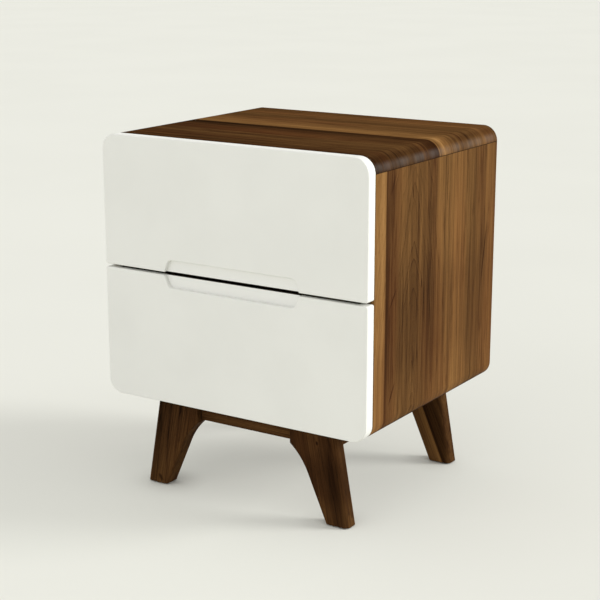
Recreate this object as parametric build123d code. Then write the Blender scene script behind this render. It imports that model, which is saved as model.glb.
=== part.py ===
"""Nightstand with two drawers on a splayed leg frame. Millimetres, +Z up, fronts towards -Y."""

import os
from math import radians, tan

from build123d import *

# Overall sizes
width = 470.0
depth = 399.5
height = 562.0
base_height = 152.0

# Case panels
edge_round = 24.0
panel = 18.0
back_thick = 6.0
back_lap = 9.0
back_inset = 2.0
fit = 0.15

# Drawer fronts
front_thick = 18.0
front_gap = 4.5
front_standoff = 1.5
front_edge_round = 2.0
front_corner = 3.5

# Finger recess across the gap between the two fronts
pull_length = 244.0
pull_height = 43.0
pull_taper = 9.0
pull_depth = 7.0
pull_corner = 9.0
pull_lip = 2.5
pull_undercut = 9.0

# Drawer boxes
box_wall = 12.0
box_clear = 12.0
box_sheet = 5.0
box_sheet_lift = 10.0
groove = 6.0

# Telescopic runners, across from the case side to the box side
runner_height = 45.0
runner_width = 12.7
runner_metal = 1.2
runner_bend = 1.8
runner_play = 0.4
runner_lip = 11.0
middle_web = 3.4
drawer_lip = 5.6
runner_back_space = 22.0
runner_lift = 65.0

# Legs and rails of the base
leg_thick = 27.5
front_leg_setback = 11.0
back_leg_setback = 16.0
leg_inset = 46.8
leg_splay = 10.1
leg_foot = 38.8
leg_outer_round = 8.0
leg_inner_round = 3.0
bracket_reach = 149.0
bracket_drop = 36.0
curve_run = 30.5
curve_drop = 40.0
rail_height = 33.0
rail_thick = 16.0
rail_setback = 8.0
tenon_thick = 8.0
tenon_height = 20.0
tenon_length = 14.0
block_size = 30.0
block_height = 26.0

# Small hardware
glide_diameter = 17.0
glide_thick = 2.0
bolt_diameter = 6.0
bolt_head = 10.0
bolt_head_thick = 4.0
bolt_grip = 12.0

# Planes that follow from the sizes
half = width / 2
y_front = -depth / 2
y_behind_front = y_front + front_thick
y_case = y_behind_front + front_standoff
y_back = depth / 2
y_board = y_back - back_inset
y_inside = y_board - back_thick
z_case = base_height
z_seam = height - edge_round
z_middle = (z_case + height) / 2
inner_half = half - panel
box_half = inner_half - runner_width
box_inside = box_half - box_wall
box_height = (height - z_case) / 2 - edge_round - 3 * box_clear
y_box_back = y_inside - runner_back_space

parts = {}


def block(x0, x1, y0, y1, z0, z1):
    """Box between two corners."""
    middle = Pos((x0 + x1) / 2, (y0 + y1) / 2, (z0 + z1) / 2)
    return middle * Box(x1 - x0, y1 - y0, z1 - z0)


def area(x0, x1, z0, z1):
    """Rectangle in the X-Z plane between two corners."""
    return Pos((x0 + x1) / 2, (z0 + z1) / 2) * Rectangle(x1 - x0, z1 - z0)


def outline(*points):
    """Face inside a closed line of X-Z points."""
    return make_face(Polyline(*points, close=True))


def round_corners(face, z, radius):
    """Face with its corners at one height rounded."""
    return fillet([v for v in face.vertices() if abs(v.Y - z) < fit], radius)


def prism(face, y0, y1):
    """Face drawn in X and Z, made solid from y0 to y1."""
    return extrude(Plane.XZ.offset(-y1) * face, amount=y1 - y0)


def pin(diameter, start, length, way):
    """Cylinder from a point, along way."""
    base = (Align.CENTER, Align.CENTER, Align.MIN)
    return Plane(origin=start, z_dir=way) * Cylinder(diameter / 2, length, align=base)


def both_sides(name, solid):
    """Keeps a right-hand piece and its left-hand mirror image; SIDE in the name is filled in."""
    parts[name.replace("SIDE", "right")] = solid
    parts[name.replace("SIDE", "left")] = mirror(solid, about=Plane.YZ)


# Case: one rounded outline cut into top, sides and bottom, with a rebate for the back
case_face = Pos(0, z_middle) * RectangleRounded(width, height - z_case, edge_round)
lap_half = inner_half + back_lap
z_lap_low = z_case + panel - back_lap
z_lap_high = z_seam + back_lap
rebate = block(-lap_half, lap_half, y_inside, y_back, z_lap_low, z_lap_high)
back_face = area(-lap_half + fit, lap_half - fit, z_lap_low + fit, z_lap_high - fit)
top = prism(case_face & area(-half, half, z_seam, height), y_case, y_back)
side = prism(case_face & area(inner_half, half, z_case, z_seam), y_case, y_back)
bottom = prism(
    case_face & area(-inner_half, inner_half, z_case, z_case + panel), y_case, y_back
)
parts["top_panel"] = top - rebate
both_sides("SIDE_side_panel", side - rebate)
parts["back_panel"] = prism(back_face, y_inside, y_board)

# Base: planes and points of the legs and rails
y_leg_front = y_case + front_leg_setback
y_leg_back = y_back - back_leg_setback
y_inside_front = y_leg_front + leg_thick
y_inside_back = y_leg_back - leg_thick
foot_outer = half - leg_inset
foot_inner = foot_outer - leg_foot
tip_x = half - bracket_reach
tip_z = base_height - bracket_drop
curve_x = tip_x + curve_run
curve_z = tip_z - curve_drop
z_rail = base_height - rail_height
z_tenon = z_rail + (rail_height - tenon_height) / 2


def outer_edge(z):
    """X of the splayed outer edge of a leg at a height."""
    return foot_outer - z * tan(radians(leg_splay))


def round_long_edges(leg, x0, x1, radius):
    """Leg with the edges that run down it, between two X planes, rounded."""
    chosen = []
    for edge in leg.edges():
        size = edge.bounding_box().size
        if size.Y < fit < size.Z and x0 < edge.center().X < x1:
            chosen.append(edge)
    return fillet(chosen, radius)


def leg_solid(y0, y1):
    """Right-hand bracket leg: straight splayed outer edge, curved inner edge, long edges rounded."""
    straight = Polyline(
        (tip_x, tip_z), (tip_x, base_height), (outer_edge(base_height), base_height),
        (outer_edge(glide_thick), glide_thick), (foot_inner, glide_thick), (curve_x, curve_z),
    )
    inner_way = (curve_x - foot_inner, curve_z - glide_thick)
    curve = TangentArc((curve_x, curve_z), (tip_x, tip_z), tangent=inner_way)
    leg = prism(make_face([straight, curve]), y0, y1)
    leg = round_long_edges(leg, tip_x + fit, foot_inner, leg_inner_round)
    return round_long_edges(leg, foot_inner, foot_outer, leg_outer_round)


def leaning_face(near, far, z0, z1):
    """Section that leans with the legs, between two distances in from their outer edge."""
    return outline(
        (outer_edge(z1) - far, z1), (outer_edge(z1) - near, z1),
        (outer_edge(z0) - near, z0), (outer_edge(z0) - far, z0),
    )


def cross_tenon(y_middle, play):
    """Tenon along X through a cross rail, from leg to leg."""
    reach = tip_x + tenon_length + play
    low, high = z_tenon - play, z_tenon + tenon_height + play
    return block(
        -reach, reach, y_middle - tenon_thick / 2 - play, y_middle + tenon_thick / 2 + play, low, high
    )


def side_tenon(play):
    """Tenon along Y through a side rail, from the front leg to the back leg."""
    x = outer_edge(z_tenon + tenon_height / 2) - rail_setback - rail_thick / 2
    y0 = y_inside_front - tenon_length - play
    y1 = y_inside_back + tenon_length + play
    low, high = z_tenon - play, z_tenon + tenon_height + play
    return block(x - tenon_thick / 2 - play, x + tenon_thick / 2 + play, y0, y1, low, high)


# Legs with their mortises, and the front and back rails
for end, y_leg, y_rail in (
    ("front", y_leg_front, y_inside_front - rail_thick),
    ("back", y_inside_back, y_inside_back),
):
    y_tenon = y_rail + rail_thick / 2
    leg = leg_solid(y_leg, y_leg + leg_thick) - cross_tenon(y_tenon, fit) - side_tenon(fit)
    both_sides(f"{end}_SIDE_leg", leg)
    rail = block(-tip_x, tip_x, y_rail, y_rail + rail_thick, z_rail, base_height)
    parts[f"{end}_rail"] = rail + cross_tenon(y_tenon, 0)

# Side rails, leaning with the legs
rail_inside = rail_setback + rail_thick
rail_face = leaning_face(rail_setback, rail_inside, z_rail, base_height)
both_sides("SIDE_rail", prism(rail_face, y_inside_front, y_inside_back) + side_tenon(0))

# Corner blocks, each with a bolt up into the case
z_block = base_height - block_height
block_face = leaning_face(rail_inside, rail_inside + block_size, z_block, base_height)
bolt_x = outer_edge(base_height) - rail_inside - block_size / 2
bolts = []
for end, y_block in (("front", y_inside_front), ("back", y_inside_back - block_size)):
    y_bolt = y_block + block_size / 2
    hole = pin(bolt_diameter + 2 * fit, (bolt_x, y_bolt, z_block), block_height, (0, 0, 1))
    both_sides(f"{end}_SIDE_corner_block", prism(block_face, y_block, y_block + block_size) - hole)
    for x in (-bolt_x, bolt_x):
        hexagon = Pos(x, y_bolt, z_block) * RegularPolygon(bolt_head / 2, 6, major_radius=False)
        head = extrude(hexagon, amount=-bolt_head_thick)
        shank = pin(bolt_diameter, (x, y_bolt, z_block), block_height + bolt_grip, (0, 0, 1))
        bolts.append(head + shank)
        bottom -= pin(bolt_diameter + 2 * fit, (x, y_bolt, z_case), bolt_grip + fit, (0, 0, 1))
parts["base_bolts"] = bolts
parts["bottom_panel"] = bottom - rebate

# Glides under the feet
parts["foot_glides"] = [
    pin(glide_diameter, (x, y, 0), glide_thick, (0, 0, 1))
    for x in (leg_foot / 2 - foot_outer, foot_outer - leg_foot / 2)
    for y in (y_leg_front + leg_thick / 2, y_leg_back - leg_thick / 2)
]


def front_solid(up):
    """Front above the gap for up = 1, below it for up = -1, with its half of the finger recess."""
    z_edge = z_middle + up * front_gap / 2
    z_far = z_middle + up * (height - z_case) / 2
    z_pull = z_middle + up * pull_height / 2
    pull_half = pull_length / 2
    face = area(-half, half, min(z_edge, z_far), max(z_edge, z_far))
    face = round_corners(face, z_far, edge_round)
    face = round_corners(face, z_edge, front_corner)
    pull = outline(
        (-pull_half, z_middle), (pull_half, z_middle),
        (pull_half - pull_taper, z_pull), (pull_taper - pull_half, z_pull),
    )
    pull = round_corners(pull, z_pull, pull_corner)
    y_floor = y_front + pull_depth
    front = prism(face - pull, y_front, y_floor) + prism(face, y_floor, y_behind_front)
    front = fillet(front.edges().filter_by_position(Axis.Y, y_front, y_front), front_edge_round)

    # Between the case sides the edge at the gap is bevelled behind, and leaves a thin lip in the recess
    bevel = Polyline(
        (y_floor + pull_lip, z_edge), (y_behind_front, z_edge), (y_behind_front, z_edge + up * pull_undercut),
        close=True,
    )
    return front - extrude(Plane.YZ.offset(-inner_half) * make_face(bevel), amount=2 * inner_half)


def channel(near, far, tall, web):
    """Folded section between two distances from the case side, about height zero; web is the closed side."""
    x0, x1 = inner_half - far, inner_half - near
    low, high = -tall / 2, tall / 2
    whole = area(x0, x1, low, high)
    x_web = inner_half - web
    whole = fillet([v for v in whole.vertices() if abs(v.X - x_web) < fit], runner_bend)
    shift = runner_metal if web == far else -runner_metal
    return whole - area(x0 + shift, x1 + shift, low + runner_metal, high - runner_metal)


# Runner sections: three channels, one inside the other
nest = 2 * (runner_metal + runner_play)
runner_faces = {
    "case": channel(0, runner_lip, runner_height, 0),
    "middle": channel(middle_web, runner_lip, runner_height - nest, middle_web),
    "drawer": channel(drawer_lip, runner_width, runner_height - 2 * nest, runner_width),
}


def drawer(name, up, z_box):
    """All pieces of one drawer, and its runners on both sides."""
    z_top = z_box + box_height
    z_sheet = z_box + box_sheet_lift
    y_inner = y_behind_front + box_wall
    sheet_half = box_inside + groove
    y_sheet = y_inner - groove
    y_sheet_end = y_box_back - box_wall + groove
    slot = block(
        -sheet_half, sheet_half, y_sheet, y_sheet_end, z_sheet, z_sheet + box_sheet + fit
    )
    parts[f"{name}_box_bottom"] = block(
        fit - sheet_half, sheet_half - fit, y_sheet + fit, y_sheet_end - fit,
        z_sheet, z_sheet + box_sheet,
    )
    wall = block(box_inside, box_half, y_behind_front, y_box_back, z_box, z_top)
    both_sides(f"{name}_SIDE_box_side", wall - slot)
    back = block(-box_inside, box_inside, y_box_back - box_wall, y_box_back, z_box, z_top)
    parts[f"{name}_box_back"] = back - slot

    # The box has a front wall of its own, behind the lacquered front
    inner_front = block(-box_inside, box_inside, y_behind_front, y_inner, z_box, z_top)
    parts[f"{name}_inner_front"] = inner_front - slot
    parts[f"{name}_front"] = front_solid(up)

    for member, face in runner_faces.items():
        solid = prism(Pos(0, z_box + runner_lift) * face, y_case, y_box_back)
        both_sides(f"{name}_SIDE_runner_{member}", solid)


drawer("upper", 1, z_middle + box_clear)
drawer("lower", -1, z_case + panel + box_clear)

os.makedirs("parts", exist_ok=True)
for name, solid in parts.items():
    group = Compound(children=solid) if isinstance(solid, list) else solid
    export_step(group, f"parts/{name}.step")
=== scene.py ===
"""Looks of a nightstand with two drawers: finishes, small fittings, floor, light and camera."""

import math

import bmesh
import bpy
from mathutils import Matrix, Vector


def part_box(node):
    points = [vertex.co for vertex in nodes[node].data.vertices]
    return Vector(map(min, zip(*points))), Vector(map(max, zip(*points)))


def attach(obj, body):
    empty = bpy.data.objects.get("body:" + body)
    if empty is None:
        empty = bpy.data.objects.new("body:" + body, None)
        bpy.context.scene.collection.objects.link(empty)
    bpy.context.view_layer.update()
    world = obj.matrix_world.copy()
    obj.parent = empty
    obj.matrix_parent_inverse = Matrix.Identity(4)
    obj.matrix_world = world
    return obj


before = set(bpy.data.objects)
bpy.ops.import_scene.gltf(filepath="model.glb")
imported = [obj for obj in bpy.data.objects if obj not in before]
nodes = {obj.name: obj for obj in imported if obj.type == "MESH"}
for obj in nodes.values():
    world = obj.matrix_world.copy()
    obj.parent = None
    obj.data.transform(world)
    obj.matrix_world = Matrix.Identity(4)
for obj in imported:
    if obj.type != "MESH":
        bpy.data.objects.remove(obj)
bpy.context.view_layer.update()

# Planes of the case, in metres as all sizes here
case_low, case_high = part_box("right_side_panel")
top_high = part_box("top_panel")[1]
HALF = top_high.x
Y_CASE = case_low.y
CASE_DEPTH = case_high.y - Y_CASE
Z_SEAM = case_high.z
Z_TOP = top_high.z

# Finger recess that the two fronts share, with its floor behind their faces
PULL_HALF = 0.122
PULL_DEPTH = 0.007
Y_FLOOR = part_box("upper_front")[0].y + PULL_DEPTH
Z_GAP = (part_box("upper_front")[0].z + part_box("lower_front")[1].z) / 2


def srgb(red, green, blue):
    """Linear colour from screen values of 0 to 255."""
    def linear(value):
        value /= 255
        return value / 12.92 if value <= 0.04045 else ((value + 0.055) / 1.055) ** 2.4
    return linear(red), linear(green), linear(blue), 1.0


class Graph:
    """Node tree with a short call for each kind of node."""

    def __init__(self, tree):
        self.tree = tree

    def node(self, kind, inputs=(), **settings):
        made = self.tree.nodes.new("ShaderNode" + kind)
        for key, value in settings.items():
            setattr(made, key, value)
        for key, value in dict(inputs).items():
            self.put(made.inputs[key], value)
        return made

    def put(self, socket, value):
        if isinstance(value, bpy.types.NodeSocket):
            self.tree.links.new(value, socket)
        else:
            socket.default_value = value

    def math(self, operation, *values):
        return self.node("Math", enumerate(values), operation=operation).outputs[0]

    def add(self, *values):
        total = values[0]
        for value in values[1:]:
            total = self.math("ADD", total, value)
        return total

    def sub(self, a, b):
        return self.math("SUBTRACT", a, b)

    def mul(self, a, b):
        return self.math("MULTIPLY", a, b)

    def swing(self, value, amount):
        """A 0 to 1 value as a change of half of amount either way."""
        return self.math("MULTIPLY_ADD", value, amount, -amount / 2)

    def axes(self, vector):
        return self.node("SeparateXYZ", {0: vector}).outputs

    def vector(self, x, y, z):
        return self.node("CombineXYZ", enumerate((x, y, z))).outputs[0]

    def noise(self, vector, scale=1.0, detail=2.0, rough=0.5):
        sockets = {"Vector": vector, "Scale": scale, "Detail": detail, "Roughness": rough}
        return self.node("TexNoise", sockets).outputs[0]

    def grain(self, axes, scales, shifts=(0.0, 0.0, 0.0), detail=2.0, rough=0.5):
        """Noise with a scale and a shift for each axis, so that it is drawn out along the grain."""
        place = [self.math("MULTIPLY_ADD", *terms) for terms in zip(axes, scales, shifts)]
        return self.noise(self.vector(*place), detail=detail, rough=rough)

    def step(self, value, low, high, start=0.0, end=1.0):
        """Smooth change from start to end as value goes from low to high."""
        sockets = {0: value, 1: low, 2: high, 3: start, 4: end}
        return self.node("MapRange", sockets, interpolation_type="SMOOTHSTEP").outputs[0]

    def ramp(self, value, stops):
        """Colour along a list of (place, colour); a plain number stands for a grey."""
        made = self.node("ValToRGB", {0: value})
        elements = made.color_ramp.elements
        while len(elements) < len(stops):
            elements.new(1.0)
        for element, (place, colour) in zip(elements, stops):
            element.position = place
            element.color = colour if isinstance(colour, tuple) else (colour, colour, colour, 1.0)
        return made.outputs[0]

    def mix(self, factor, a, b):
        made = self.node("Mix", data_type="RGBA")
        for place, value in ((0, factor), (6, a), (7, b)):
            self.put(made.inputs[place], value)
        return made.outputs[2]

    def seen(self):
        """1 for rays from the eye, also by way of a reflection or through glass, and 0 for light."""
        rays = self.node("LightPath").outputs
        direct = self.math("MAXIMUM", rays["Is Camera Ray"], rays["Is Glossy Ray"])
        return self.math("MAXIMUM", direct, rays["Is Transmission Ray"])


class Finish(Graph):
    """Node tree of one material, with its shader and the place of a point on the surface."""

    def __init__(self, name):
        self.material = bpy.data.materials.new(name)
        self.material.use_nodes = True
        super().__init__(self.material.node_tree)
        self.shader = next(n for n in self.tree.nodes if n.type == "BSDF_PRINCIPLED")
        place = self.node("TexCoord")
        self.point = place.outputs["Object"]
        self.normal = place.outputs["Normal"]

    def set(self, **inputs):
        """Shader inputs by name, with _ for a space."""
        for key, value in inputs.items():
            self.put(self.shader.inputs[key.replace("_", " ")], value)

    def edge(self, radius):
        """0 on flat ground, rising to 1 at a sharp edge, and the softened normal there."""
        soft = self.node("Bevel", {"Radius": radius}, samples=6).outputs[0]
        sharp = self.node("NewGeometry").outputs["Normal"]
        made = self.node("VectorMath", {0: soft, 1: sharp}, operation="DOT_PRODUCT")
        return self.step(made.outputs["Value"], 0.995, 0.8), soft

    def bump(self, height, distance, normal):
        made = self.node("Bump", {"Height": height, "Distance": distance, "Normal": normal})
        self.set(Normal=made.outputs[0])


# Walnut: the way of the grain on each piece, as places along it, across it and through the wood

SKIN = 0.04         # share of the depth round a bend that counts as depth in the figure
FRONT_LEAN = 0.178  # slope of the splayed outer edge
BACK_LEAN = 0.445   # slope of the straight part of the inner edge


def along_side(g):
    """Side panels: the leaf runs up the side and round the lower corner."""
    x, y, z = g.axes(g.point)
    inward = g.sub(HALF, g.math("ABSOLUTE", x))
    return g.sub(z, inward), g.sub(y, Y_CASE), g.mul(inward, SKIN)


def along_top(g):
    """Top: the leaf runs from side to side and down over the ends."""
    x, y, z = g.axes(g.point)
    down = g.sub(Z_TOP, z)
    return g.add(x, g.mul(g.math("SIGN", x), down)), g.sub(y, Y_CASE), g.mul(down, SKIN)


def along_under(g):
    """Bottom panel: the leaf runs from side to side."""
    x, y, z = g.axes(g.point)
    return x, g.sub(y, Y_CASE), z


def along_back(g):
    """Back panel: the leaf runs up the board."""
    x, y, z = g.axes(g.point)
    return z, g.add(x, HALF), y


def along_leg(lean):
    """Legs: solid wood with its grain up the leg, leaning in by a slope of lean."""
    def flow(g):
        x, y, z = g.axes(g.point)
        return z, g.math("MULTIPLY_ADD", z, lean, g.math("ABSOLUTE", x)), y
    return flow


def along_rail(g):
    """Front and back rails: solid wood with its grain along X."""
    x, y, z = g.axes(g.point)
    return x, z, y


def along_side_rail(g):
    """Side rails: solid wood with its grain along Y."""
    x, y, z = g.axes(g.point)
    return y, z, x


# Walnut: the finish

WALNUT = (
    (0.0, srgb(26, 15, 7)), (0.25, srgb(58, 37, 19)), (0.5, srgb(92, 64, 35)),
    (0.75, srgb(124, 89, 50)), (1.0, srgb(158, 119, 72)),
)
WARM_WALNUT = srgb(122, 70, 38)
SEAM_LINE = srgb(30, 18, 10)
LEAF_SHIFT = 3.7        # how far the figure of the second leaf lies along the grain
JOINT_STRAIGHT = 0.025  # bands wander less within this of a joint
DRIFT_END = 0.08        # where the drift of tone along the grain ends
BEND_CALM = 0.6         # share of the rings' contrast that a bend loses
HEART_ROUND = 0.00004   # square of the width over which an arch is rounded at the heart line
COAT_ROUGH = 0.3


def marked(g, tone, mark, along, across, leaf, joint):
    """Tone with one dash or cloud, which stays on its own leaf."""
    middle, place, length, wide, tilt, depth = mark
    far = g.sub(along, middle)
    off = g.math("ABSOLUTE", g.sub(across, g.math("MULTIPLY_ADD", far, tilt, place)))
    dash = g.mul(g.step(off, wide, 0.0), g.step(g.math("ABSOLUTE", far), length, length * 0.2))
    own = leaf if place > joint else g.sub(1.0, leaf)
    return g.math("MULTIPLY_ADD", g.mul(dash, own), -depth, tone)


def satin_band(g, polish, axes, leaf, seed):
    """Satin coat on the bend, uneven along it and thinner on the second leaf."""
    middle, half, weight = polish
    far = g.math("ABSOLUTE", g.sub(axes[2], middle * SKIN))
    rubbed = g.grain(axes, (9, 34, 0), (0, 0, seed))
    thick = g.mul(g.step(rubbed, 0.35, 0.65, 0.35, 1.0), g.step(leaf, 0.0, 1.0, 1.0, 0.8))
    bell = g.step(far, half * SKIN, half * SKIN * 0.1, 0.0, weight)
    g.set(Coat_Weight=g.mul(bell, thick), Coat_Roughness=COAT_ROUGH)


def growth_rings(g, arch, spacing, axes, along, offset, ragged, seed):
    """Late wood of the rings: arches over the heart line, which run out into straight lines beside it."""
    middle, steep = arch
    eased = g.math("SQRT", g.math("MULTIPLY_ADD", offset, offset, HEART_ROUND))
    lean = g.step(offset, 0.0, 0.1, steep, steep * 0.12)
    rise = g.grain(axes, (7, 6, 0), (seed, 0, seed))
    distance = g.add(eased, g.mul(g.sub(along, middle), lean), g.swing(rise, 0.02))
    turns = g.add(g.math("DIVIDE", distance, spacing), g.swing(ragged, 0.7))
    part = g.math("FRACT", turns)
    late = g.add(g.mul(g.math("POWER", part, 7.0), 0.8), g.mul(part, 0.2))
    drawn = g.node("TexWhiteNoise", {"W": g.math("FLOOR", turns)}, noise_dimensions="1D")
    year = g.step(drawn.outputs["Value"], 0.2, 1.0, 0.15, 1.0)
    strength = g.step(g.grain(axes, (4, 30, 0), (0, seed, 0.7)), 0.3, 0.6, 0.25, 1.0)
    return g.mul(late, g.mul(strength, year))


def walnut(
    name, flow, bands, reach, hearts, seed, joint=-1.0, wander=0.012, spacing=0.007, figure=0.24,
    arch=(0.0, 0.05), drift=0.0, bend_shade=None, polish=None, blush=0.35, shine=0.006, seam=None, marks=(),
):
    """Walnut: tone across the leaf in bands, growth rings about a heart line, veins, fibres and pores.

    Bands are pairs of a place across the leaf, as a share of reach, and a tone. A joint is the place
    across the grain where one leaf ends and the next begins, each with its own heart. The arch is the
    middle of the figure along the grain, and how far a ring leans towards the heart line. The drift is
    the change of tone along the grain. The bend shade is painted shade round a bent end of the leaf:
    where it starts and ends, and its amount. The polish is a satin coat on the bend: its middle, half
    its width and its weight. The blush is the share of warm patches. The seam is the height of a dark
    line. Each mark is a dark dash, or a cloud, on one leaf: its middle along and across the grain, half
    its length, half its width, its lean and its depth, which is below zero where it is lighter.
    """
    g = Finish(name)
    along, v, w = flow(g)
    leaf = g.math("GREATER_THAN", v, joint)
    axes = (g.math("MULTIPLY_ADD", leaf, LEAF_SHIFT, along), v, w)

    # Tone: bands that wander, but run straight beside a joint
    bend = g.grain(axes, (3.2, 9, 0), (seed, 0, seed))
    kept = g.step(g.math("ABSOLUTE", g.sub(v, joint)), 0.0, JOINT_STRAIGHT)
    across = g.add(v, g.mul(g.swing(bend, wander), kept))
    tone = g.ramp(g.math("DIVIDE", across, reach), bands)
    tone = g.math("MULTIPLY_ADD", g.math("MINIMUM", along, DRIFT_END), drift, tone)
    contrast = figure
    # Painted shade: the tone is darkened round a bent end of the leaf, and the rings there are calmer
    if bend_shade is not None:
        start, end, amount = bend_shade
        bent = g.step(w, start * SKIN, end * SKIN)
        tone = g.math("MULTIPLY_ADD", bent, amount, tone)
        contrast = g.math("MULTIPLY_ADD", bent, -BEND_CALM * figure, figure)
    for mark in marks:
        tone = marked(g, tone, mark, along, across, leaf, joint)
    if polish is not None:
        satin_band(g, polish, axes, leaf, seed)

    # Growth rings
    ragged = g.grain(axes, (18, 150, 150), detail=3.0)
    heart = g.math("MULTIPLY_ADD", leaf, hearts[1] - hearts[0], hearts[0])
    offset = g.math("ABSOLUTE", g.sub(across, heart))
    ring = growth_rings(g, arch, spacing, axes, along, offset, ragged, seed)

    # Veins are thin dark lines on the contours of a drawn-out noise
    ground = g.grain(axes, (2.2, 46, 46), (0, seed, 0), detail=3.0, rough=0.55)
    vein = g.step(g.math("ABSOLUTE", g.swing(ground, 1.0)), 0.03, 0.004)
    vein = g.mul(vein, g.step(ragged, 0.35, 0.65))

    # Streaks, fibres and pores, each drawn out along the grain
    streak = g.grain(axes, (2.5, 120, 120), (0, seed, 0), detail=4.0, rough=0.66)
    fibre = g.grain(axes, (16, 520, 520), (0, 0, seed), detail=3.0, rough=0.6)
    pore = g.step(g.grain(axes, (130, 1900, 1900), detail=1.0), 0.6, 0.74)
    worn, soft = g.edge(0.0012)
    tone = g.add(
        g.sub(tone, g.mul(ring, contrast)), g.swing(ground, 0.26), g.swing(streak, 0.62),
        g.swing(fibre, 0.34), g.mul(vein, -0.16), g.mul(pore, -0.12), g.mul(worn, g.mul(fibre, 0.2)),
        figure * 0.25,
    )
    colour = g.ramp(tone, WALNUT)

    # Warm patches, and the dark line of a seam
    patch = g.grain(axes, (2, 14, 0), (0, seed, 0.2))
    warm = g.mix(0.5, colour, WARM_WALNUT)
    colour = g.mix(g.step(patch, 0.42, 0.72, 0.0, blush), colour, warm)
    if seam is not None:
        near = g.math("ABSOLUTE", g.sub(g.axes(g.point)[2], seam))
        colour = g.mix(g.step(near, 0.0009, 0.0003, 0.0, 0.8), colour, SEAM_LINE)
    g.set(Base_Color=colour, Specular_IOR_Level=shine)
    g.set(Roughness=g.add(0.5, g.mul(pore, 0.18), g.swing(streak, 0.14)))
    height = g.add(g.mul(pore, -0.7), g.mul(fibre, 0.35), g.mul(ring, -0.25))
    g.bump(height, 0.00012, soft)
    return g.material


# Walnut: the figure of each piece

TOP_JOINT = 0.49 * CASE_DEPTH
TOP_BANDS = (
    (0.0, 0.26), (0.08, 0.28), (0.2, 0.38), (0.3, 0.32), (0.42, 0.22), (0.488, 0.1), (0.492, 0.64),
    (0.56, 0.66), (0.66, 0.5), (0.76, 0.42), (0.88, 0.48), (1.0, 0.38),
)
# Painted shade on the bent ends of the top: where it starts and ends down the bend, and its amount
TOP_BEND_SHADE = (0.0, 0.006, -0.13)
TOP_POLISH = (0.0172, 0.0092, 0.72)
TOP_MARKS = (
    (0.24, 0.207, 0.06, 0.025, 0.0, -0.2), (0.24, 0.145, 0.06, 0.03, 0.0, -0.1),
    (0.26, 0.32, 0.03, 0.14, 0.0, -0.17),
)
SIDE_JOINT = 0.081 * CASE_DEPTH
SIDE_BANDS = (
    (0.0, 0.8), (0.03, 0.74), (0.055, 0.8), (0.0795, 0.7), (0.0825, 0.22), (0.11, 0.36), (0.16, 0.49),
    (0.36, 0.47), (0.42, 0.4), (0.45, 0.43), (0.51, 0.57), (0.6, 0.6), (0.66, 0.68), (0.73, 0.56),
    (0.79, 0.46), (0.87, 0.46), (0.92, 0.52), (0.97, 0.59), (1.0, 0.52),
)
# Painted shade on the rounded lower corner of the sides: where it starts and ends, and its amount
SIDE_BEND_SHADE = (0.004, 0.0075, -0.5)
# Dark dashes of the figure; the last two marks are broad clouds of painted shade, across the middle height
# of the side and on its pale front strip
SIDE_MARKS_AND_SHADE = (
    (0.495, 0.108, 0.011, 0.002, -0.1, 0.3), (0.357, 0.136, 0.009, 0.002, 0.0, 0.3),
    (0.35, 0.053, 0.016, 0.003, 0.7, 0.36), (0.52, 0.05, 0.02, 0.004, 0.4, 0.16),
    (0.209, 0.054, 0.018, 0.003, 0.6, 0.36), (0.365, 0.343, 0.065, 0.003, 0.16, 0.34),
    (0.302, 0.14, 0.13, 0.45, 0.0, 0.13), (0.2, 0.015, 0.13, 0.2, 0.0, 0.13),
)
FIGURE_MIDDLE = 0.36
FRONT_LEG_REACH = 0.19
FRONT_LEG_BANDS = (
    (0.0, 0.3), (0.55, 0.31), (0.7, 0.32), (0.8, 0.3), (0.88, 0.23), (0.955, 0.19), (0.975, 0.31),
    (1.0, 0.4),
)
BACK_LEG_REACH = 0.25
BACK_LEG_BANDS = (
    (0.0, 0.4), (0.55, 0.54), (0.7, 0.68), (0.706, 0.08), (0.722, 0.08), (0.74, 0.27), (0.82, 0.36),
    (1.0, 0.4),
)
LEG_KINDS = {
    "front": (along_leg(FRONT_LEAN), FRONT_LEG_BANDS, FRONT_LEG_REACH),
    "back": (along_leg(BACK_LEAN), BACK_LEG_BANDS, BACK_LEG_REACH),
}
LEG_MARKS = {
    "front_left": ((0.0, 0.15, 0.17, 0.3, 0.0, -0.1), (0.012, 0.164, 0.007, 0.005, 0.6, 0.26)),
    "front_right": (
        (0.07, 0.15, 0.05, 0.3, 0.0, 0.11), (0.126, 0.156, 0.004, 0.0026, 0.0, 0.4),
        (0.113, 0.157, 0.014, 0.0014, 0.0, 0.24),
    ),
}
RAIL_REACH = 0.16
PLAIN_BANDS = ((0.0, 0.28), (0.3, 0.24), (0.6, 0.32), (1.0, 0.26))


# Other finishes

LACQUER = (srgb(228, 228, 222), srgb(231, 231, 225))
LACQUER_DUST = srgb(208, 206, 195)
LACQUER_WORN = srgb(205, 200, 185)
# Painted light: the recess is made paler than the face
RECESS_PAINTED_LIGHT = srgb(232, 232, 227)
# Painted shade: the edges in the gap are made dark
GAP_PAINTED_SHADE = srgb(58, 52, 46)
BIRCH = ((0.2, srgb(178, 144, 104)), (0.45, srgb(203, 172, 131)), (0.8, srgb(220, 194, 156)))
BIRCH_FLECK = srgb(150, 112, 76)
BIRCH_PLY = srgb(146, 108, 72)
BIRCH_WORN = srgb(226, 203, 168)
PLY = 0.00133
NO_PLIES = 0.2
ZINC_WORN = srgb(226, 228, 230)


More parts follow.
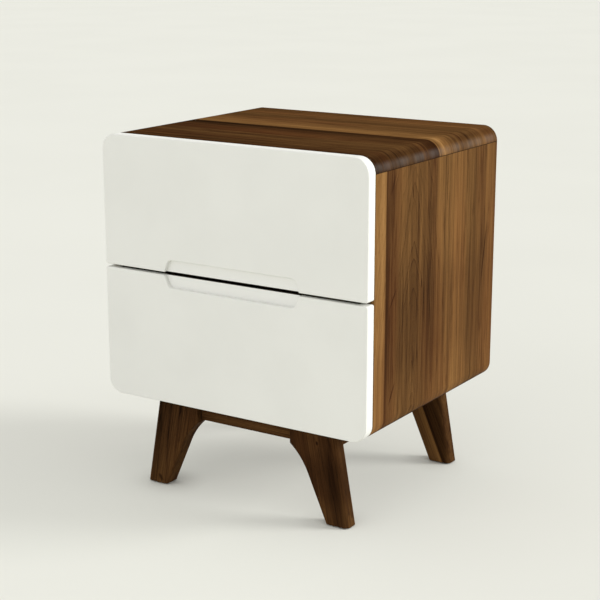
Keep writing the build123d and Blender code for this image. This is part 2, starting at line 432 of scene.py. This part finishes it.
def lacquer(name):
    """Satin lacquer: nearly even colour, soft orange peel, a little handling on the gloss and edges, a
    paler recess as painted light, and dark gap edges as painted shade.
    """
    g = Finish(name)
    cloud = g.noise(g.point, 9.0, detail=3.0)
    dust = g.noise(g.point, 900.0, detail=2.0)
    peel = g.noise(g.point, 420.0, detail=1.5, rough=0.4)
    handled = g.noise(g.point, 26.0, detail=4.0, rough=0.6)
    worn, soft = g.edge(0.0008)
    colour = g.mix(g.step(cloud, 0.3, 0.7), *LACQUER)
    colour = g.mix(g.step(dust, 0.68, 0.8, 0.0, 0.25), colour, LACQUER_DUST)
    colour = g.mix(g.mul(worn, g.step(handled, 0.5, 0.7, 0.0, 0.25)), colour, LACQUER_WORN)

    # The recess is painted a little paler, as painted light against its shade, and its edges at the gap and
    # the bevels behind them are painted dark, as painted shade of the gap
    x, y, z = g.axes(g.point)
    away = g.math("ABSOLUTE", g.sub(z, Z_GAP))
    within = g.step(g.math("ABSOLUTE", x), PULL_HALF, PULL_HALF - 0.0005)
    inside = g.mul(g.step(away, 0.023, 0.021), g.step(y, Y_FLOOR - PULL_DEPTH, Y_FLOOR - 0.005))
    colour = g.mix(g.mul(within, inside), colour, RECESS_PAINTED_LIGHT)
    edging = g.mul(g.step(y, Y_FLOOR - 0.0004, Y_FLOOR - 0.0001), g.step(away, 0.0028, 0.0026))
    behind = g.mul(g.step(y, Y_FLOOR + 0.0002, Y_FLOOR + 0.0005), g.step(away, 0.014, 0.013))
    gap_shade = g.mul(g.math("MAXIMUM", edging, behind), within)
    colour = g.mix(gap_shade, colour, GAP_PAINTED_SHADE)
    g.set(Base_Color=colour, Specular_IOR_Level=0.42)
    g.set(Roughness=g.add(0.4, g.swing(handled, 0.14), g.swing(cloud, 0.06)))
    g.bump(peel, 0.00003, soft)
    return g.material


def birch(name, grain, thick, plies=PLY, seed=0.0):
    """Clear lacquered birch: pale faces with fine rays, and plies on the upper and lower edges."""
    g = Finish(name)
    axes = dict(zip("XYZ", g.axes(g.point)))
    u = axes[grain]
    w = axes[thick]
    v = next(axes[k] for k in "ZYX" if k not in (grain, thick))
    bend = g.grain((u, v, w), (4, 14, 0), (seed, 0, seed))
    wave = g.grain((u, v, w), (3, 42, 0), (0, g.mul(bend, 3), seed), detail=3.0)
    fibre = g.grain((u, v, w), (30, 600, 600), detail=3.0, rough=0.6)
    fleck = g.grain((u, v, w), (160, 900, 900), detail=1.0)
    colour = g.ramp(g.add(wave, g.swing(fibre, 0.35)), BIRCH)
    colour = g.mix(g.step(fleck, 0.64, 0.76, 0.0, 0.45), colour, BIRCH_FLECK)
    stripe = g.math("FRACT", g.math("DIVIDE", w, 2 * plies))
    layer = g.mul(g.step(stripe, 0.46, 0.54), g.step(stripe, 1.0, 0.92))
    up = g.math("ABSOLUTE", g.axes(g.normal)[2])
    shown = g.mul(g.step(up, 0.7, 0.9), g.step(layer, 0.0, 1.0, 0.15, 0.75))
    colour = g.mix(shown, colour, BIRCH_PLY)
    worn, soft = g.edge(0.0008)
    colour = g.mix(g.mul(worn, 0.3), colour, BIRCH_WORN)
    g.set(Base_Color=colour, Specular_IOR_Level=0.35)
    g.set(Roughness=g.add(0.46, g.swing(fibre, 0.2)))
    g.bump(g.add(fibre, g.mul(fleck, -0.4)), 0.00008, soft)
    return g.material


def plated(name, spangle, tint, rough):
    """Zinc plated steel: faint crystals, drawing lines along Y and a few rubbed places."""
    g = Finish(name)
    cells = g.node("TexVoronoi", {"Vector": g.point, "Scale": spangle}).outputs["Color"]
    grey = g.axes(cells)[0]
    lines = g.grain(g.axes(g.point), (900, 14, 900))
    rubbed = g.noise(g.point, 38.0, detail=4.0, rough=0.65)
    low, high = (tuple(c * k for c in tint[:3]) + (1.0,) for k in (0.78, 1.05))
    colour = g.mix(g.add(g.mul(grey, 0.45), g.mul(rubbed, 0.55)), low, high)
    worn, soft = g.edge(0.0005)
    colour = g.mix(g.mul(worn, 0.4), colour, ZINC_WORN)
    g.set(Base_Color=colour, Metallic=1.0)
    g.set(Roughness=g.add(rough, g.swing(rubbed, 0.22), g.swing(lines, 0.12)))
    g.bump(lines, 0.00002, soft)
    return g.material


def moulded(name, colour_low, colour_high, rough):
    """Moulded plastic or rubber with a fine grained skin."""
    g = Finish(name)
    skin = g.noise(g.point, 2600.0, detail=2.0)
    cloud = g.noise(g.point, 160.0, detail=3.0)
    worn, soft = g.edge(0.0004)
    colour = g.mix(g.add(g.mul(cloud, 0.8), g.mul(worn, 0.4)), colour_low, colour_high)
    g.set(Base_Color=colour, Specular_IOR_Level=0.4)
    g.set(Roughness=g.add(rough, g.swing(cloud, 0.2)))
    g.bump(skin, 0.00005, soft)
    return g.material


# The finish of each CAD node

def give(material, *names):
    """Puts a finish in the slots of CAD nodes."""
    for name in names:
        for slot in nodes[name].material_slots:
            slot.material = material


give(
    walnut(
        "walnut_top", along_top, TOP_BANDS, CASE_DEPTH, (0.12, 0.27), 3.1, joint=TOP_JOINT, wander=0.02,
        spacing=0.0085, figure=0.19, drift=0.22, bend_shade=TOP_BEND_SHADE, polish=TOP_POLISH, shine=0.0, seam=Z_SEAM,
        marks=TOP_MARKS,
    ),
    "top_panel",
)
give(
    walnut(
        "walnut_side_right", along_side, SIDE_BANDS, CASE_DEPTH, (0.05, 0.112), 7.4, joint=SIDE_JOINT,
        arch=(FIGURE_MIDDLE, 0.3), bend_shade=SIDE_BEND_SHADE, seam=Z_SEAM, marks=SIDE_MARKS_AND_SHADE,
    ),
    "right_side_panel",
)
give(
    walnut(
        "walnut_side_left", along_side, SIDE_BANDS, CASE_DEPTH, (0.05, 0.15), 21.9, joint=SIDE_JOINT,
        arch=(FIGURE_MIDDLE, -0.3), bend_shade=SIDE_BEND_SHADE, seam=Z_SEAM,
    ),
    "left_side_panel",
)
give(
    walnut("walnut_under", along_under, PLAIN_BANDS, CASE_DEPTH, (0.2, 0.2), 12.6, wander=0.02),
    "bottom_panel",
)
give(
    walnut(
        "walnut_back", along_back, PLAIN_BANDS, 2 * HALF, (0.2, 0.2), 30.2, wander=0.03,
        arch=(FIGURE_MIDDLE, 0.3),
    ),
    "back_panel",
)
for k, corner in enumerate(("front_left", "front_right", "back_left", "back_right")):
    leg = walnut(
        f"walnut_leg_{corner}", *LEG_KINDS[corner.split("_")[0]], (0.05, 0.05), 2.3 + 5.7 * k, wander=0.006,
        figure=0.14, drift=-1.0, blush=0.15, marks=LEG_MARKS.get(corner, ()),
    )
    give(leg, f"{corner}_leg")
give(
    walnut("walnut_rail", along_rail, PLAIN_BANDS, RAIL_REACH, (0.08, 0.08), 9.2),
    "front_rail", "back_rail",
)
give(
    walnut("walnut_side_rail", along_side_rail, PLAIN_BANDS, RAIL_REACH, (0.09, 0.09), 15.5),
    "left_rail", "right_rail",
)

give(lacquer("white_lacquer"), "upper_front", "lower_front")
blocks = birch("block_wood", "Y", "X", plies=NO_PLIES, seed=4.0)
give(blocks, *(name for name in nodes if name.endswith("corner_block")))
ply_side = birch("box_wood_side", "Y", "X", seed=1.0)
ply_end = birch("box_wood_end", "X", "Y", seed=2.0)
sheet = birch("box_sheet", "X", "Z", plies=NO_PLIES, seed=3.0)
for drawer in ("upper", "lower"):
    give(ply_side, f"{drawer}_left_box_side", f"{drawer}_right_box_side")
    give(ply_end, f"{drawer}_inner_front", f"{drawer}_box_back")
    give(sheet, f"{drawer}_box_bottom")
zinc = plated("zinc_runner", 160.0, srgb(196, 199, 202), 0.34)
give(zinc, *(name for name in nodes if "_runner_" in name))
steel = plated("steel", 900.0, srgb(186, 187, 189), 0.3)
give(steel, "base_bolts")
give(moulded("glide_plastic", srgb(46, 41, 37), srgb(66, 60, 54), 0.55), "foot_glides")
rubber = moulded("bumper_rubber", srgb(196, 197, 192), srgb(214, 215, 210), 0.42)


# Small fittings: the diameter and height of each, and its place on the piece that carries it

ROUND_SIDES = 28
SHARP_ANGLE = 35
SCREW_TURN = 37
BUMPER = (0.008, 0.0014)
FRONT_SCREW = (0.0085, 0.0024)
RUNNER_SCREW = (0.0072, 0.0018)
BACK_SCREW = (0.0065, 0.0017)
SIDE_PANEL = 0.018
BUMPER_FROM_GAP = 0.018
BUMPER_FROM_CORNER = 0.045
FRONT_SCREW_X = 0.14
FRONT_SCREW_FROM_FOOT = 0.04
FRONT_SCREW_FROM_TOP = 0.035
RUNNER_SHEET = 0.0012
RUNNER_SCREWS_ALONG = (0.035, 0.13, 0.225, 0.315)
BACK_SCREW_INSET = 0.0045


def ring_of(bm, radius, height, count):
    """Loop of points round a circle."""
    turns = [2 * math.pi * k / count for k in range(count)]
    return [bm.verts.new((radius * math.cos(turn), radius * math.sin(turn), height)) for turn in turns]


def join_loops(bm, lower, upper):
    """Side faces between two loops of the same length."""
    count = len(lower)
    for k in range(count):
        following = (k + 1) % count
        bm.faces.new((lower[k], lower[following], upper[following], upper[k]))


def loop_edges(bm, loop):
    """Edges round a loop, made where they are missing."""
    pairs = zip(loop, loop[1:] + loop[:1])
    return [bm.edges.get(pair) or bm.edges.new(pair) for pair in pairs]


def turned(bm, profile, count):
    """Turned shape through rings of (radius, height), closed at its foot; returns the last ring."""
    rings = [ring_of(bm, radius, height, count) for radius, height in profile]
    bm.faces.new(rings[0][::-1])
    for lower, upper in zip(rings, rings[1:]):
        join_loops(bm, lower, upper)
    return rings[-1]


def cross(bm, arm, wide, height):
    """Loop of twelve points round a cross."""
    points = []
    for turn in range(4):
        for x, y in ((arm, -wide), (arm, wide), (wide, wide)):
            for _ in range(turn):
                x, y = -y, x
            points.append((x, y))
    return [bm.verts.new((x, y, height)) for x, y in points]


def screw_head(diameter, height):
    """Round head with a tapered cross recess, standing on Z = 0."""
    bm = bmesh.new()
    outer = diameter / 2
    profile = (
        (0.94, 0.0), (1.0, 0.12), (1.0, 0.3), (0.96, 0.55), (0.86, 0.78), (0.7, 0.93), (0.56, 1.0),
    )
    crown = turned(bm, [(outer * wide, height * high) for wide, high in profile], ROUND_SIDES)
    mouth = cross(bm, outer * 0.46, outer * 0.11, height)
    floor = cross(bm, outer * 0.3, outer * 0.08, height * 0.4)
    edges = loop_edges(bm, crown) + loop_edges(bm, mouth)
    bmesh.ops.triangle_fill(bm, use_beauty=True, edges=edges)
    join_loops(bm, mouth, floor)
    bm.faces.new(floor)
    bmesh.ops.recalc_face_normals(bm, faces=bm.faces)
    return bm


def bumper(diameter, height):
    """Low dome with a soft foot, standing on Z = 0."""
    bm = bmesh.new()
    outer = diameter / 2
    angles = [math.radians(degrees) for degrees in range(0, 85, 14)]
    arc = [(outer * math.cos(a), height * (0.25 + 0.75 * math.sin(a))) for a in angles]
    crown = turned(bm, [(outer * 0.97, 0.0), *arc], ROUND_SIDES)
    bm.faces.new(crown)
    bmesh.ops.recalc_face_normals(bm, faces=bm.faces)
    return bm


def fittings(name, shape, way, places, body, material):
    """One piece of equal small shapes, each with its foot at a place and its head towards way."""
    degrees, axis = {"+Y": (-90, "X"), "+X": (90, "Y"), "-X": (-90, "Y")}[way]
    rotation = Matrix.Rotation(math.radians(degrees), 4, axis)
    single = bpy.data.meshes.new(name + "_single")
    shape.to_mesh(single)
    shape.free()
    whole = bmesh.new()
    for k, place in enumerate(places):
        spin = Matrix.Rotation(math.radians(SCREW_TURN * k), 4, "Z")
        copy = single.copy()
        copy.transform(Matrix.Translation(place) @ rotation @ spin)
        whole.from_mesh(copy)
        bpy.data.meshes.remove(copy)
    bpy.data.meshes.remove(single)
    mesh = bpy.data.meshes.new(name)
    whole.to_mesh(mesh)
    whole.free()
    mesh.materials.append(material)
    mesh.shade_smooth()
    mesh.set_sharp_from_angle(angle=math.radians(SHARP_ANGLE))
    piece = bpy.data.objects.new(name, mesh)
    bpy.context.scene.collection.objects.link(piece)
    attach(piece, body)


for drawer in ("upper", "lower"):
    body = f"{drawer}_drawer"
    front_low, front_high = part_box(f"{drawer}_front")
    bumper_x = HALF - SIDE_PANEL / 2
    from_ends = (BUMPER_FROM_GAP, BUMPER_FROM_CORNER)
    from_low, from_high = from_ends if drawer == "upper" else from_ends[::-1]
    bumper_rows = (front_low.z + from_low, front_high.z - from_high)
    fittings(
        f"{drawer}_bumpers", bumper(*BUMPER), "+Y",
        [(x, front_high.y, z) for x in (-bumper_x, bumper_x) for z in bumper_rows],
        body, rubber,
    )
    wall_low, wall_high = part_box(f"{drawer}_inner_front")
    screw_rows = (wall_low.z + FRONT_SCREW_FROM_FOOT, wall_high.z - FRONT_SCREW_FROM_TOP)
    fittings(
        f"{drawer}_front_screws", screw_head(*FRONT_SCREW), "+Y",
        [(x, wall_high.y, z) for x in (-FRONT_SCREW_X, FRONT_SCREW_X) for z in screw_rows],
        body, steel,
    )
    for side, way in (("left", "-X"), ("right", "+X")):
        rail_low, rail_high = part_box(f"{drawer}_{side}_runner_drawer")
        web = rail_low.x + RUNNER_SHEET if way == "+X" else rail_high.x - RUNNER_SHEET
        middle = (rail_low.z + rail_high.z) / 2
        fittings(
            f"{drawer}_{side}_runner_screws", screw_head(*RUNNER_SCREW), way,
            [(web, rail_low.y + along, middle) for along in RUNNER_SCREWS_ALONG],
            body, steel,
        )

board_low, board_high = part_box("back_panel")
rows = (board_low.z + BACK_SCREW_INSET, board_high.z - BACK_SCREW_INSET)
column = board_high.x - BACK_SCREW_INSET
third = (rows[1] - rows[0]) / 3
fittings(
    "back_screws", screw_head(*BACK_SCREW), "+Y",
    [(x, board_high.y, z) for z in rows for x in (-column, -column / 3, column / 3, column)]
    + [(x, board_high.y, rows[0] + k * third) for k in (1, 2) for x in (-column, column)],
    "case", steel,
)


# Floor, light and camera

FLOOR_REACH = 40.0
FLOOR_COLOURS = (srgb(226, 226, 217), srgb(229, 229, 220))
BACKDROP = srgb(228, 228, 219)
FLOOR_OWN = 0.46
CONTACT_REACH = 0.05
SOFT_LIGHT = 0.54
CAMERA_LENS = 88.55
CAMERA_PLACE = (1.2325, -1.9116, 0.8691)
CAMERA_DOWN = 14.288
CAMERA_TURN = 32.930


def floor_finish(name):
    """Plain pale floor with a faint unevenness."""
    g = Finish(name)
    cloud = g.noise(g.point, 1.3, detail=2.0)
    g.set(Base_Color=g.mix(g.step(cloud, 0.3, 0.7), *FLOOR_COLOURS), Specular_IOR_Level=0.15)
    g.set(Roughness=g.add(0.75, g.swing(cloud, 0.1)))

    # Part of the paleness is the floor's own to the eye, which keeps shadows light; near a contact the
    # ambient occlusion takes that share away, which paints a contact shadow
    own = g.node("Emission", {"Color": BACKDROP, "Strength": 1.0}).outputs[0]
    open_air = g.node("AmbientOcclusion", {"Distance": CONTACT_REACH}, samples=8).outputs["AO"]
    share = g.mul(g.seen(), g.mul(g.math("POWER", open_air, 2.0), FLOOR_OWN))
    both = g.node("MixShader", {0: share, 1: g.shader.outputs[0], 2: own}).outputs[0]
    output = next(n for n in g.tree.nodes if n.type == "OUTPUT_MATERIAL")
    g.put(output.inputs["Surface"], both)
    return g.material


floor_mesh = bpy.data.meshes.new("floor")
floor_corners = [(x * FLOOR_REACH, y * FLOOR_REACH, 0) for x, y in ((-1, -1), (1, -1), (1, 1), (-1, 1))]
floor_mesh.from_pydata(floor_corners, [], [(0, 1, 2, 3)])
floor_mesh.materials.append(floor_finish("floor_paint"))
floor = bpy.data.objects.new("floor", floor_mesh)
bpy.context.scene.collection.objects.link(floor)

# Soft light from all round, with the backdrop's colour to the eye
world = bpy.data.worlds.new("studio")
bpy.context.scene.world = world
world.use_nodes = True
studio = Graph(world.node_tree)
studio.tree.nodes.clear()
soft_light = studio.node("Background", {"Color": (1.0, 1.0, 1.0, 1.0), "Strength": SOFT_LIGHT}).outputs[0]
backdrop = studio.node("Background", {"Color": BACKDROP, "Strength": 1.0}).outputs[0]
either = studio.node("MixShader", {0: studio.seen(), 1: soft_light, 2: backdrop}).outputs[0]
studio.node("OutputWorld", {"Surface": either})


def sun(name, towards, strength, spread):
    """Far lamp in the direction towards, with its disc spread in degrees."""
    lamp = bpy.data.lights.new(name, "SUN")
    lamp.energy = strength
    lamp.angle = math.radians(spread)
    made = bpy.data.objects.new(name, lamp)
    made.rotation_euler = (-Vector(towards)).to_track_quat("-Z", "Y").to_euler()
    bpy.context.scene.collection.objects.link(made)


sun("key", (0.78, 0.47, 0.40), 2.6, 22)
sun("fill", (-0.18, -0.96, 0.12), 1.16, 80)
sun("top", (0.10, 0.05, 1.0), 0.6, 70)

camera_data = bpy.data.cameras.new("camera")
camera_data.lens = CAMERA_LENS
camera_data.sensor_width = 36.0
camera_data.clip_end = 200.0
camera = bpy.data.objects.new("camera", camera_data)
camera.location = CAMERA_PLACE
camera.rotation_euler = (math.radians(90 - CAMERA_DOWN), 0.0, math.radians(CAMERA_TURN))
bpy.context.scene.collection.objects.link(camera)
bpy.context.scene.camera = camera
bpy.context.scene.view_settings.view_transform = "Standard"
